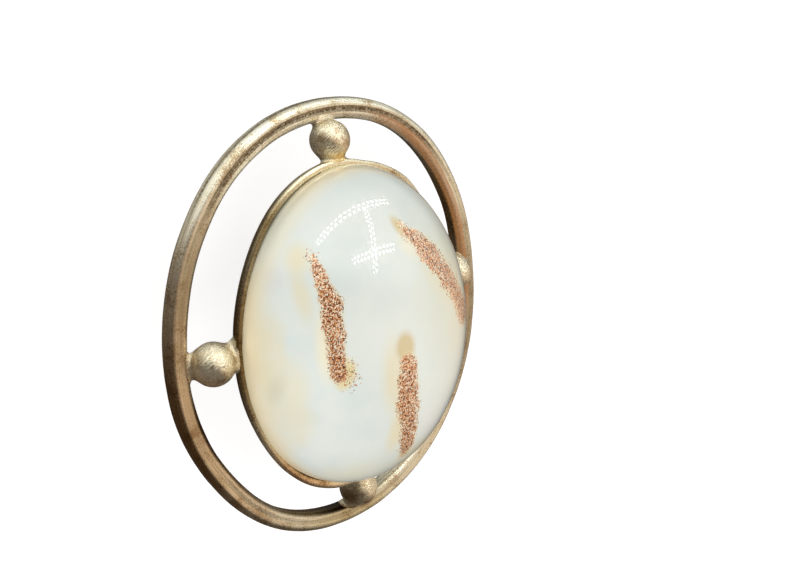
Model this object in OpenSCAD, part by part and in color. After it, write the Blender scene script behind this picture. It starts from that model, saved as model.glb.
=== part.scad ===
// Clip-on earring: a domed oval glass stone in a brass cup, held by four balls inside an open oval ring,
// with a hinged ear clip behind the cup. It lies on the flat of its closed clip, face up.
// +X is the wearer's side to side, +Y runs to the top ball, +Z points out of the stone's face.
// The origin is on the surface that the clip rests on, below the middle of the outer box.

/* [Outer ring] */
// Height of the ring, outside edge to outside edge
ring_h = 40; // [38:0.5:42]
// Width of the ring, outside edge to outside edge
ring_w = 34.8; // [34:0.1:36]
// Radius of the wire's rounded body
wire_r = 0.97; // [0.92:0.01:1]
// Radius of the broad band along the front of the wire
band_r = 0.78; // [0.7:0.01:0.82]
// Radius of the bead that runs along the wire's inner edge
bead_r = 0.36; // [0.3:0.01:0.38]

/* [Balls] */
// Radius of the balls at the two sides
side_ball_r = 1.9; // [1.8:0.05:2.05]
// Radius of the top and bottom balls
end_ball_r = 1.75; // [1.7:0.05:2.05]
// How far the balls' middles lie behind the cup's lip
ball_drop = 1.25; // [1:0.05:1.4]
// How far the balls' middles stand in front of the ring's
ball_lift = 1.4; // [0.8:0.05:1.6]
// Radius of the solder neck between a ball and the ring
neck_r = 0.9; // [0.7:0.05:0.95]

/* [Cup] */
// Height of the cup's outline
cup_h = 30; // [29:0.1:31]
// Width of the cup's outline
cup_w = 24; // [23:0.1:24.8]
// Depth of the cup, from its back to its lip
cup_depth = 1.7; // [1.6:0.1:2.4]
// Radius of the cup's edge, where the wall turns into the back
cup_edge_r = 0.9; // [0.7:0.1:1]
// Thickness of the cup's wall
wall_t = 0.3; // [0.25:0.05:0.35]
// Thickness of the cup's back
back_t = 0.5; // [0.5:0.05:0.7]
// Radius of the rolled lip
lip_r = 0.24; // [0.2:0.01:0.28]

/* [Stone] */
// Height of the dome above the cup's lip
dome_h = 8.7; // [6:0.1:10]
// Gap between the stone and the lip, at the sides and at the ends
stone_gap = 0.07; // [0.06:0.01:0.12]

/* [Clip] */
// Clear space between the lever and the base, where the ear lobe goes
lobe_gap = 5.6; // [5.2:0.1:6.4]
// Thickness of the lever's sheet metal
sheet_t = 0.8; // [0.7:0.05:0.9]
// Thickness of the base that is soldered to the cup
base_t = 0.7; // [0.6:0.05:0.8]
// Width of the base
base_w = 6.4; // [6:0.1:7]
// Width of the lever
lever_w = 6.4; // [6:0.1:6.8]
// Height of the hinge's axis above the resting surface
pin_z = 3.6; // [3.4:0.1:3.7]
// Radius of the hinge pin
pin_r = 0.5; // [0.45:0.01:0.55]
// Radial clearance of the lever's knuckle on the pin
run_gap = 0.06; // [0.03:0.01:0.09]

/* [Hidden] */

$fn = 96;
// How far solids that are one piece run into each other
bite = 0.1;
// Neighbouring arcs meet on the slope of a 3-4-5 triangle, so that they share exact points
leg_3 = 0.6;
leg_4 = 0.8;
slope = atan2(leg_4, leg_3);

// Levels above the resting surface
base_z = sheet_t + lobe_gap;
cup_z = base_z + base_t;
floor_z = cup_z + back_t;
lip_z = cup_z + cup_depth;
ball_z = lip_z - ball_drop;
ring_z = ball_z - ball_lift;

// The ring's middle curve, and the places of its section's parts round that curve
half_wire = 1;
mid_a = ring_w/2 - half_wire;
mid_b = ring_h/2 - half_wire;
body_at = [0, -0.075];
band_at = [half_wire - band_r, 0.265];
bead_at = [-0.62, 0.625];
inner_wall = [0.65, 1];
inner_wall_at = [-0.95, -0.255];

// Cup, and the place of its rolled lip
cup_a = cup_w/2;
cup_b = cup_h/2;
rim_w = 3;
inner_edge_r = 0.3;
lip_inset = 0.2;

// Stone, which is widest at its girdle
stone_inset = lip_inset + lip_r + stone_gap;
stone_a = cup_a - stone_inset;
stone_b = cup_b - stone_inset;
stone_z = floor_z + 0.15;
girdle_z = lip_z - 0.4;

// Balls, a little nearer to the cup than to the ring
ball_inset = 0.1;
ball_x = (cup_a + mid_a - half_wire)/2 - ball_inset;
ball_y = (cup_b + mid_b - half_wire)/2 - ball_inset;

// Clip: hinge, base and spring tongue
hinge_y = -9;
ear_r = 1.5;
ear_t = 0.7;
ear_gap = 4;
ear_bore_gap = 0.02;
pin_head_r = 0.8;
pin_head_t = 0.3;
knuckle_r = 1.35;
knuckle_w = 3.8;
base_top_y = 3;
tongue_root_y = -4.2;
tongue = [2.6, 3.6, 0.35];
tongue_root = 0.4;
tongue_slope = 25;

// Clip: the lever's bow, flat, slope and tip
bow_r = 3.4;
bow_y = -7.4;
bow_turn = -105;
flat_top_y = 3.5;
tip_bend_r = 4.5;
tip_run = 3.5;
tip_curl_r = 2;
lever_foot_y = -13;
lever_end_y = 10.7;
shoulder_cut = [4, 6.5, 5];

// Sweeps a section round an upright oval of four arcs, a by b to its middle, with +x pointing out of the oval
module oval_sweep(a, b) {
    step = (b - a)/(leg_3 + leg_4 - 1);
    far = 2*b;
    for (turn = [0, 180]) rotate([0, 0, turn]) {
        intersection() {
            translate([-leg_4*step, 0, 0]) rotate_extrude() translate([a + leg_4*step, 0]) children();
            translate([-leg_4*step, 0, -far]) linear_extrude(height = 2*far)
                polygon([[0, 0], [leg_4*far, -leg_3*far], [leg_4*far, leg_3*far]]);
        }
        intersection() {
            translate([0, leg_3*step, 0]) rotate_extrude() translate([b - leg_3*step, 0]) children();
            translate([0, leg_3*step, -far]) linear_extrude(height = 2*far)
                polygon([[0, 0], [leg_4*far, leg_3*far], [-leg_4*far, leg_3*far]]);
        }
    }
}

// The wire's section, +x out of the oval: a rounded body and a broad band, then a groove and a bead inside
module wire_section() {
    translate(body_at) circle(r = wire_r);
    translate(band_at) circle(r = band_r);
    translate(bead_at) circle(r = bead_r);
    translate(inner_wall_at) square(inner_wall);
}

module ring() translate([0, 0, ring_z]) oval_sweep(mid_a, mid_b) wire_section();

// A ball of radius r and the neck of solder from its middle to the middle of the ring's wire, along +X
module ball_link(at, wire_at, r) {
    reach = wire_at - at;
    translate([at, 0, ball_z]) {
        sphere(r = r);
        rotate([0, 90 + atan2(ball_lift, reach), 0]) cylinder(h = norm([reach, ball_lift]), r = neck_r);
    }
}

// The four balls, cut off halfway through the cup's wall
module balls() {
    difference() {
        for (turn = [0, 180]) {
            rotate([0, 0, turn]) ball_link(ball_x, mid_a, side_ball_r);
            rotate([0, 0, turn + 90]) ball_link(ball_y, mid_b, end_ball_r);
        }
        translate([0, 0, cup_z + back_t/2]) linear_extrude(height = cup_depth)
            scale([cup_a - wall_t/2, cup_b - wall_t/2]) circle(r = 1);
    }
}

// A block of width w and height h on the -x side of the origin, with its corner at the origin rounded
module cornered(w, h, r) {
    translate([-r, r]) circle(r = r);
    translate([-w, 0]) square([w - r, h]);
    translate([-w, r]) square([w, h - r]);
}

// The cup's wall with its rolled lip, and the rim of its back, seen in section
module cup_section() {
    wall_h = cup_depth - lip_r;
    difference() {
        cornered(rim_w, wall_h, cup_edge_r);
        translate([-wall_t, back_t]) cornered(rim_w, cup_depth, inner_edge_r);
    }
    translate([-lip_inset, wall_h]) circle(r = lip_r);
}

module cup() translate([0, 0, cup_z]) {
    oval_sweep(cup_a, cup_b) cup_section();
    linear_extrude(height = back_t) scale([cup_a - rim_w/2, cup_b - rim_w/2]) circle(r = 1);
}

// One ear of the hinge, with its inner face at x = 0
module ear() {
    translate([0, hinge_y, pin_z]) rotate([0, 90, 0]) cylinder(h = ear_t, r = ear_r);
    translate([0, hinge_y - ear_r, pin_z]) cube([ear_t, 2*ear_r, base_z - pin_z + bite]);
}

// The clip's base: a plate on the cup's back, two ears that hold the pin, and the spring tongue
module clip_base() {
    base_foot_y = hinge_y - ear_r;
    difference() {
        union() {
            translate([-base_w/2, base_foot_y, base_z])
                cube([base_w, base_top_y - base_foot_y, base_t + bite]);
            for (side = [0, 1]) mirror([side, 0, 0]) translate([ear_gap/2, 0, 0]) ear();
        }
        translate([-base_w, hinge_y, pin_z]) rotate([0, 90, 0])
            cylinder(h = 2*base_w, r = pin_r + ear_bore_gap);
    }
    translate([-tongue.x/2, tongue_root_y, base_z]) rotate([tongue_slope, 0, 0])
        translate([0, tongue_root - tongue.y, 0]) cube(tongue);
}

module setting() {
    color([0.62, 0.52, 0.34]) {
        ring();
        balls();
        cup();
        clip_base();
    }
}

module cabochon() {
    color([0.86, 0.90, 0.88])
        intersection() {
            translate([0, 0, girdle_z]) scale([stone_a, stone_b, lip_z + dome_h - girdle_z]) sphere(r = 1);
            translate([-cup_a, -cup_b, stone_z]) cube([cup_w, cup_h, 2*dome_h]);
        }
}

module hinge_pin() {
    half_l = ear_gap/2 + ear_t + ear_bore_gap;
    color([0.50, 0.42, 0.27])
        translate([0, hinge_y, pin_z]) rotate([0, 90, 0]) {
            translate([0, 0, -half_l]) cylinder(h = 2*half_l, r = pin_r);
            for (foot = [-half_l - pin_head_t, half_l])
                translate([0, 0, foot]) cylinder(h = pin_head_t, r = pin_head_r);
        }
}

// A bend of the lever's sheet about [y, z], from angle a0 through turn; r is the sheet's outer radius
module bend(y, z, r, a0, turn)
    translate([y, z]) intersection() {
        difference() {
            circle(r = r);
            circle(r = r - sheet_t);
        }
        rotate(a0) polygon([[0, 0], for (part = [0, 0.5, 1]) 2*r*[cos(part*turn), sin(part*turn)]]);
    }

// The lever's profile seen from +X, with y to the right and z up: bow, flat, rise to the tip, and the tip
module lever_profile() {
    half_t = sheet_t/2;
    bend_z = tip_bend_r + half_t;
    run_y = flat_top_y + leg_4*tip_bend_r;
    run_z = bend_z - leg_3*tip_bend_r;
    curl_y = run_y + leg_3*tip_run;
    curl_z = run_z + leg_4*tip_run;
    bend(bow_y, bow_r, bow_r, 270, bow_turn);
    translate([bow_y, 0]) square([flat_top_y - bow_y, sheet_t]);
    bend(flat_top_y, bend_z, tip_bend_r + half_t, -90, slope);
    translate([run_y, run_z]) rotate(slope) translate([0, -half_t]) square([tip_run, sheet_t]);
    bend(curl_y + leg_4*tip_curl_r, curl_z - leg_3*tip_curl_r, tip_curl_r + half_t, 90, slope);
}

// The lever's outline seen along Z: a straight strip with a round end
module lever_outline() {
    round_y = lever_end_y - lever_w/2;
    translate([-lever_w/2, lever_foot_y]) square([lever_w, round_y - lever_foot_y]);
    translate([0, round_y]) circle(r = lever_w/2);
}

// The lever, with the knuckle that turns on the pin and shoulders cut back beside it to clear the ears
module clip_lever() {
    shoulder_z = pin_z - 1.8;
    color([0.58, 0.48, 0.31])
        difference() {
            union() {
                intersection() {
                    rotate([90, 0, 90]) translate([0, 0, -lever_w])
                        linear_extrude(height = 2*lever_w) lever_profile();
                    translate([0, 0, -bite]) linear_extrude(height = cup_z) lever_outline();
                }
                translate([-knuckle_w/2, hinge_y, pin_z]) rotate([0, 90, 0])
                    cylinder(h = knuckle_w, r = knuckle_r);
            }
            for (side = [0, 1]) mirror([side, 0, 0])
                translate([knuckle_w/2, lever_foot_y, shoulder_z]) cube(shoulder_cut);
            translate([-base_w, hinge_y, pin_z]) rotate([0, 90, 0])
                cylinder(h = 2*base_w, r = pin_r + run_gap);
        }
}

setting();
cabochon();
hinge_pin();
clip_lever();
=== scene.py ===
import math

import bmesh
import bpy
import numpy as np
from mathutils import Matrix, Vector, noise


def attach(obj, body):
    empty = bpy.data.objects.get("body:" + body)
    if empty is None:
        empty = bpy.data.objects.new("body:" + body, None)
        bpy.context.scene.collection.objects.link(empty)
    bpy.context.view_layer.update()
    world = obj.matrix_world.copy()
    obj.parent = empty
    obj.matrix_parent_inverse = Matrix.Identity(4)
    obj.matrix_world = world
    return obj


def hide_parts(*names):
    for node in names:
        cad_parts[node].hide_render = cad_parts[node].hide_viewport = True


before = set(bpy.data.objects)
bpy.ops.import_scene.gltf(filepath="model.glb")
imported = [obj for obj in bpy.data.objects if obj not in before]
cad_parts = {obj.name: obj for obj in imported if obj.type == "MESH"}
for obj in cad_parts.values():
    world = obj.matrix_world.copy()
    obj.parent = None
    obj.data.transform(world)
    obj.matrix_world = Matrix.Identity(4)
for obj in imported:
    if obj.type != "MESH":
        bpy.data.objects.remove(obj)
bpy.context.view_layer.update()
scene = bpy.context.scene
mm = 0.001


# small helpers for node trees and meshes

def feed(tree, node, inputs):
    # inputs are sockets or plain values, by name or number, and a plain colour has three parts
    for name, value in inputs.items():
        if isinstance(value, bpy.types.NodeSocket):
            tree.links.new(value, node.inputs[name])
        elif node.inputs[name].type == "RGBA":
            node.inputs[name].default_value = (*value, 1)
        else:
            node.inputs[name].default_value = value


def addNode(tree, kind, inputs=None, **settings):
    node = tree.nodes.new(kind)
    for name, value in settings.items():
        setattr(node, name, value)
    feed(tree, node, inputs or {})
    return node


def calc(tree, operation, first, second=0.0, third=0.0):
    return addNode(tree, "ShaderNodeMath", {0: first, 1: second, 2: third}, operation=operation).outputs[0]


def chain(tree, operation, values):
    # one operation over several values, such as their product or the largest of them
    total = values[0]
    for value in values[1:]:
        total = calc(tree, operation, total, value)
    return total


def vectorCalc(tree, operation, first, second=(0.0, 0.0, 0.0), scale=None):
    inputs = {0: first, 1: second}
    if scale is not None:
        inputs["Scale"] = scale
    node = addNode(tree, "ShaderNodeVectorMath", inputs, operation=operation)
    return node.outputs["Value"] if operation in ("LENGTH", "DOT_PRODUCT", "DISTANCE") else node.outputs["Vector"]


def mixColour(tree, amount, first, second, blend="MIX"):
    node = addNode(tree, "ShaderNodeMix", {0: amount, 6: first, 7: second}, data_type="RGBA", blend_type=blend)
    return node.outputs[2]


def fade(tree, value, low, high, start=0.0, end=1.0):
    # a smooth step from start to end while the value goes from low to high
    inputs = {"Value": value, "From Min": low, "From Max": high, "To Min": start, "To Max": end}
    return addNode(tree, "ShaderNodeMapRange", inputs, interpolation_type="SMOOTHSTEP").outputs["Result"]


def fadeAll(tree, values, spans):
    # the product of fades, one for each value that the spans name
    return chain(tree, "MULTIPLY", [fade(tree, values[name], *span) for name, span in spans.items()])


def noiseOf(tree, place, scale, detail, roughness=0.5):
    inputs = {"Vector": place, "Scale": scale, "Detail": detail, "Roughness": roughness}
    return addNode(tree, "ShaderNodeTexNoise", inputs).outputs


def partsOf(tree, vector):
    return addNode(tree, "ShaderNodeSeparateXYZ", {0: vector}).outputs


def attributeOf(tree, name, output="Fac"):
    return addNode(tree, "ShaderNodeAttribute", attribute_name=name).outputs[output]


def newGroup(name, kind, inputs, outputs):
    tree = bpy.data.node_groups.new(name, kind)
    for way, sockets in (("INPUT", inputs), ("OUTPUT", outputs)):
        for sort, labels in sockets.items():
            for label in labels:
                tree.interface.new_socket(label, in_out=way, socket_type="NodeSocket" + sort)
    entry = tree.nodes.new("NodeGroupInput")
    ending = tree.nodes.new("NodeGroupOutput")
    return tree, entry.outputs, ending.inputs


def placeGroup(tree, group, inputs):
    return addNode(tree, "ShaderNodeGroup", inputs, node_tree=group).outputs


def objectInMm(tree):
    place = addNode(tree, "ShaderNodeTexCoord").outputs["Object"]
    return vectorCalc(tree, "SCALE", place, scale=1 / mm)


def newMaterial(name):
    material = bpy.data.materials.new(name)
    material.use_nodes = True
    tree = material.node_tree
    return material, tree, tree.nodes["Principled BSDF"]


def meshObject(name, points, faces, material):
    mesh = bpy.data.meshes.new(name)
    mesh.from_pydata([tuple(p) for p in points], [], [tuple(f) for f in faces])
    mesh.materials.append(material)
    mesh.shade_smooth()
    mesh.update()
    piece = bpy.data.objects.new(name, mesh)
    scene.collection.objects.link(piece)
    return piece


def joined(parts):
    # the points and faces of several parts as one
    points, faces = zip(*parts)
    starts = np.cumsum([0, *map(len, points)])
    return np.concatenate(points), np.concatenate([np.array(part) + start for part, start in zip(faces, starts)])


def keepResult(piece):
    # makes the evaluated object a plain mesh, without modifiers
    evaluated = piece.evaluated_get(bpy.context.evaluated_depsgraph_get())
    mesh = bpy.data.meshes.new_from_object(evaluated)
    mesh.name = piece.name
    piece.modifiers.clear()
    piece.data = mesh
    return piece


def dress(piece, node, body):
    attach(piece, body)
    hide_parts(node)


# camera and light

view = {"place": (-74.36, 43.70, 103.46), "turn": (-16.372, -41.346, -3.521), "lens": 64.86, "sensor": 36,
        "reach": (0.005, 20)}

camera = bpy.data.objects.new("camera", bpy.data.cameras.new("camera"))
camera.location = Vector(view["place"]) * mm
camera.rotation_euler = [math.radians(angle) for angle in view["turn"]]
camera.data.lens = view["lens"]
camera.data.sensor_width = view["sensor"]
camera.data.clip_start, camera.data.clip_end = view["reach"]
scene.collection.objects.link(camera)
scene.camera = camera
scene.view_settings.view_transform = "Standard"

studio = {
    # the surroundings lie along three directions: to the right of the view, up, and back past the camera
    "right": (0.749, -0.046, 0.661), "up": (0.245, 0.946, -0.212), "back": (-0.615, 0.320, 0.720),
    "sky": (1.18, 1.20, 1.16), "warm": (0.74, 0.57, 0.43), "dark": (0.060, 0.040, 0.026),
    # where each part comes in along its direction, and its levels there if they aren't 0 and 1
    "horizon": (0.04, 0.36), "horizonTilt": 0.12, "warmRight": (0.25, 0.75), "warmFoot": (-0.75, -0.30),
    "skyBehind": (-0.80, -0.50, 0.05, 0.45), "skyBeside": (-0.35, 0.25, 0.0, 0.55),
    "skyLeft": (-0.98, -0.55, 0.6, 1.0),
    # soft lights that only the matt surfaces see: place, size and power
    "lamps": [((-0.20, -0.25, 0.32), 0.36, 1.18), ((0.30, -0.24, 0.25), 0.36, 0.72),
              ((-0.38, -0.20, 0.15), 0.26, 0.60), ((0.43, 0.02, 0.14), 0.24, 0.24),
              ((-0.20, 0.38, 0.15), 0.26, 0.22)],
    # strip lights that only show as reflections: middle, direction, length, width, bulbs along and rows
    "strips": [((0.056, 0.307, 0.158), (1.21, -0.13, -0.23), 0.54, 0.046, 18, 2),
               ((0.110, 0.218, 0.252), (0.16, 0.50, -0.52), 0.28, 0.032, 13, 2),
               ((0.090, 0.168, 0.293), (0.63, -0.11, -0.15), 0.24, 0.032, 12, 2)],
    # a bulb is dark past the first radius and bright within the second, and each row is shifted by half a bulb
    "stripGlow": 8.0, "bulbSize": (0.38, 0.18), "rowShift": 0.5, "floorHalf": 3,
    "floor": {"Base Color": (0.36, 0.36, 0.36), "Roughness": 0.9, "Emission Color": (1, 1, 1),
              "Emission Strength": 0.78},
}

world = bpy.data.worlds.new("studio")
world.use_nodes = True
scene.world = world
tree = world.node_tree
towards = addNode(tree, "ShaderNodeTexCoord").outputs["Generated"]
across, upward, backward = (vectorCalc(tree, "DOT_PRODUCT", towards, studio[name])
                            for name in ("right", "up", "back"))
sky = fade(tree, calc(tree, "MULTIPLY_ADD", across, studio["horizonTilt"], upward), *studio["horizon"])
skyLevel = calc(tree, "ADD", *(fade(tree, backward, *studio[name]) for name in ("skyBehind", "skyBeside")))
skyLevel = calc(tree, "MULTIPLY", skyLevel, fade(tree, across, *studio["skyLeft"]))
warm = calc(tree, "MULTIPLY", fade(tree, across, *studio["warmRight"]), fade(tree, upward, *studio["warmFoot"]))
skyColour = mixColour(tree, skyLevel, studio["dark"], studio["sky"])
surroundings = mixColour(tree, warm, studio["dark"], studio["warm"])
tree.links.new(mixColour(tree, sky, surroundings, skyColour), tree.nodes["Background"].inputs["Color"])


def areaLight(name, shape, size, power):
    light = bpy.data.objects.new(name, bpy.data.lights.new(name, "AREA"))
    light.data.shape = shape
    light.data.size = size
    light.data.energy = power
    scene.collection.objects.link(light)
    return light


for place, size, power in studio["lamps"]:
    light = areaLight("softLamp", "DISK", size, power)
    light.location = place
    light.rotation_euler = (-light.location).to_track_quat("-Z", "Y").to_euler()
    light.visible_glossy = False
for place, along, length, wide, bulbs, rows in studio["strips"]:
    light = areaLight("strip", "RECTANGLE", length, studio["stripGlow"] * math.pi * length * wide)
    light.data.size_y = wide
    back = Vector(place).normalized()
    side = (Vector(along) - back * back.dot(Vector(along))).normalized()
    light.matrix_world = Matrix.Translation(place) @ Matrix((side, back.cross(side), back)).transposed().to_4x4()
    light.visible_diffuse = False
    light.visible_camera = False
    light.data.use_nodes = True
    tree = light.data.node_tree
    across = addNode(tree, "ShaderNodeNewGeometry").outputs["Parametric"]
    bulb = vectorCalc(tree, "MULTIPLY", across, (bulbs, rows, 0))
    inRow, inColumn, _ = partsOf(tree, bulb)
    inRow = calc(tree, "MULTIPLY_ADD", calc(tree, "FLOOR", inColumn), studio["rowShift"], inRow)
    bulb = addNode(tree, "ShaderNodeCombineXYZ", {0: inRow, 1: inColumn}).outputs[0]
    bulb = vectorCalc(tree, "SUBTRACT", vectorCalc(tree, "FRACTION", bulb), (0.5, 0.5, 0))
    glow = fade(tree, vectorCalc(tree, "LENGTH", bulb), *studio["bulbSize"])
    tree.links.new(glow, tree.nodes["Emission"].inputs["Strength"])

floorMaterial, tree, surface = newMaterial("paleFloor")
feed(tree, surface, studio["floor"])
half = studio["floorHalf"]
floor = meshObject("floor", [(-half, -half, 0), (half, -half, 0), (half, half, 0), (-half, half, 0)],
                   [(0, 1, 2, 3)], floorMaterial)
floor.visible_glossy = False
print("camera, light and floor are set")


# effects that several materials share, then the brass

plainHollow = 0.45    # a surface that is neither a ridge nor a groove
wear = {
    "spotCore": 0.15,    # a soft spot is full inside this share of its size
    # noises: blotches' scale and detail, and detail and roughness of the two that get their scale from a look
    "blotch": (0.45, 5.0), "speck": (4.0, 0.65), "lines": (2.0, 0.6), "lineFade": (0.36, 0.64), "pitScale": 2.4,
    "mottle": (0.6, 0.4),    # shares of blotches and specks
    # where each tone and finish comes in, by hollowness, mottling, specks and pits; the hollowness also carries
    # painted shade and light, so the grime tone is partly painted shade
    "fades": {"mid": {"mottle": (0.36, 0.52)}, "light": {"hollowAndShade": (0.52, 0.30), "mottle": (0.40, 0.60)},
              "grime": {"hollowAndShade": (0.50, 0.80), "speck": (0.45, 0.62, 1.0, 0.60)},
              "darkSpeck": {"speck": (0.32, 0.42, 0.22, 0.0)}, "darkPit": {"pit": (0.05, 0.10, 0.3, 0.0)},
              "rough": {"speck": (0.3, 0.7, 0.0, 0.14)}, "pitDepth": {"pit": (0.0, 0.12, -0.5, 0.0)}},
    "grimeRough": 0.10, "bumpDepth": 0.00003,
    # brush lines are drawn out: per metre across and along a sweep, and the share taken off a straight run
    "sweepScale": (1000.0, 1000.0, 25.0), "straight": 0.95,
}

spotTree, given, result = newGroup(
    "softSpot", "ShaderNodeTree",
    {"Vector": ("Place", "Centre", "Size"), "Float": ("Turn",)}, {"Float": ("Amount",)})
off = vectorCalc(spotTree, "SUBTRACT", given["Place"], given["Centre"])
off = addNode(spotTree, "ShaderNodeVectorRotate", {"Vector": off, "Angle": given["Turn"]},
              rotation_type="Z_AXIS").outputs[0]
off = vectorCalc(spotTree, "LENGTH", vectorCalc(spotTree, "DIVIDE", off, given["Size"]))
spotTree.links.new(fade(spotTree, off, 1.0, wear["spotCore"]), result["Amount"])


def softSpot(tree, place, centre, size, turn=0.0):
    return placeGroup(tree, spotTree, {"Place": place, "Centre": centre, "Size": size, "Turn": turn})["Amount"]


tree, given, result = newGroup(
    "agedBrass", "ShaderNodeTree",
    {"Vector": ("Place",), "Color": ("Light", "Mid", "Dark", "Deep"),
     "Float": ("HollowAndShade", "Grain", "PatinaAndShade", "Satin")},
    {"Color": ("Colour",), "Float": ("Roughness", "Height")})
blotch = noiseOf(tree, given["Place"], *wear["blotch"])[0]
speck = noiseOf(tree, given["Place"], given["Grain"], *wear["speck"])[0]
pit = addNode(tree, "ShaderNodeTexVoronoi", {"Vector": given["Place"], "Scale": wear["pitScale"]})
mottle = calc(tree, "ADD", *(calc(tree, "MULTIPLY", part, share)
                             for part, share in zip((blotch, speck), wear["mottle"])))
values = {"hollowAndShade": given["HollowAndShade"], "mottle": mottle, "speck": speck, "pit": pit.outputs["Distance"]}
amount = {name: fadeAll(tree, values, spans) for name, spans in wear["fades"].items()}
# grime darkens hollows; on the cup it is also painted shade under the lip and in the corner
grime = calc(tree, "MULTIPLY", amount["grime"], given["PatinaAndShade"])
tone = given["Dark"]
for cover, colour in ((amount["mid"], "Mid"), (amount["light"], "Light"), (grime, "Deep"),
                      (amount["darkSpeck"], "Dark"), (amount["darkPit"], "Dark")):
    tone = mixColour(tree, cover, tone, given[colour])
tree.links.new(tone, result["Colour"])
rough = calc(tree, "MULTIPLY_ADD", grime, wear["grimeRough"], amount["rough"])
tree.links.new(calc(tree, "ADD", rough, given["Satin"]), result["Roughness"])
tree.links.new(calc(tree, "ADD", speck, amount["pitDepth"]), result["Height"])
brassTree = tree

linesTree, given, result = newGroup(
    "brushLines", "ShaderNodeTree", {"Vector": ("Across",), "Float": ("Spread",)}, {"Float": ("Lines",)})
lines = noiseOf(linesTree, given["Across"], given["Spread"], *wear["lines"])[0]
linesTree.links.new(fade(linesTree, lines, *wear["lineFade"]), result["Lines"])


def brassMaterial(name, look):
    # look["lines"] is "sweep" for a piece with section attributes, or the direction of straight brushing
    material, tree, surface = newMaterial(name)
    place = objectInMm(tree)
    hollowAndShade, patinaAndShade, values, zones = plainHollow, look["patinaAndShade"], {}, {"all": 1.0}
    if look["lines"] == "sweep":
        section = attributeOf(tree, "section", "Vector")
        hollowAndShade = attributeOf(tree, "hollowAndShade")
        along = addNode(tree, "ShaderNodeCombineXYZ", {2: attributeOf(tree, "along")}).outputs[0]
        across = vectorCalc(tree, "MULTIPLY", vectorCalc(tree, "ADD", section, along), wear["sweepScale"])
        values["out"], values["up"], _ = partsOf(tree, vectorCalc(tree, "SCALE", section, scale=1 / mm))
        values["x"], values["y"], _ = partsOf(tree, place)
        for zone, spans in look["zones"].items():
            zones[zone] = fadeAll(tree, values, spans)
        if "patinaAt" in look:
            patinaAndShade = calc(tree, "MULTIPLY", fadeAll(tree, values, look["patinaAt"]), patinaAndShade)
    else:
        run = calc(tree, "MULTIPLY", vectorCalc(tree, "DOT_PRODUCT", place, look["lines"]), wear["straight"])
        across = vectorCalc(tree, "SUBTRACT", place, vectorCalc(tree, "SCALE", look["lines"], scale=run))
    fromLook = {socket: look[socket.lower()] for socket in ("Light", "Mid", "Dark", "Deep", "Grain", "Satin")}
    brass = placeGroup(tree, brassTree, {"Place": place, "HollowAndShade": hollowAndShade, "PatinaAndShade": patinaAndShade, **fromLook})
    lines = placeGroup(tree, linesTree, {"Across": across, "Spread": look["spread"]})["Lines"]
    colour = mixColour(tree, calc(tree, "MULTIPLY", lines, look["lineShade"]), brass["Colour"], look["dark"])
    # spots that multiply in a darker or warmer tint: partly tarnish, partly painted shade and painted reflection
    for zone, centre, size, tint in look["tarnishAndPaintedLight"]:
        spot = calc(tree, "MULTIPLY", softSpot(tree, place, centre, size), zones[zone])
        colour = mixColour(tree, spot, colour, tint, "MULTIPLY")
    roughness = brass["Roughness"]
    if "solder" in look:
        solder = attributeOf(tree, "solder")
        colour = mixColour(tree, calc(tree, "MULTIPLY", solder, look["solderCover"]), colour, look["solder"])
        roughness = calc(tree, "MULTIPLY_ADD", solder, look["solderRough"], roughness)
    metal = look["metal"]
    # a painted warm reflection: a dull copper tint on the ring's inner ridge at the right
    if "paintedReflection" in look:
        paintedReflection = fadeAll(tree, {**values, "lines": lines}, look["paintedReflection"])
        colour = mixColour(tree, paintedReflection, colour, look["paintedReflectionTint"])
        metal = calc(tree, "MULTIPLY_ADD", paintedReflection, -look["paintedReflectionDull"], metal)
    relief = calc(tree, "MULTIPLY_ADD", lines, look["lineDepth"], brass["Height"])
    bump = {"Height": relief, "Strength": look["bump"], "Distance": wear["bumpDepth"]}
    bump = addNode(tree, "ShaderNodeBump", bump).outputs[0]
    feed(tree, surface, {"Base Color": colour, "Metallic": metal, "Roughness": roughness, "Normal": bump})
    return material


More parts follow.
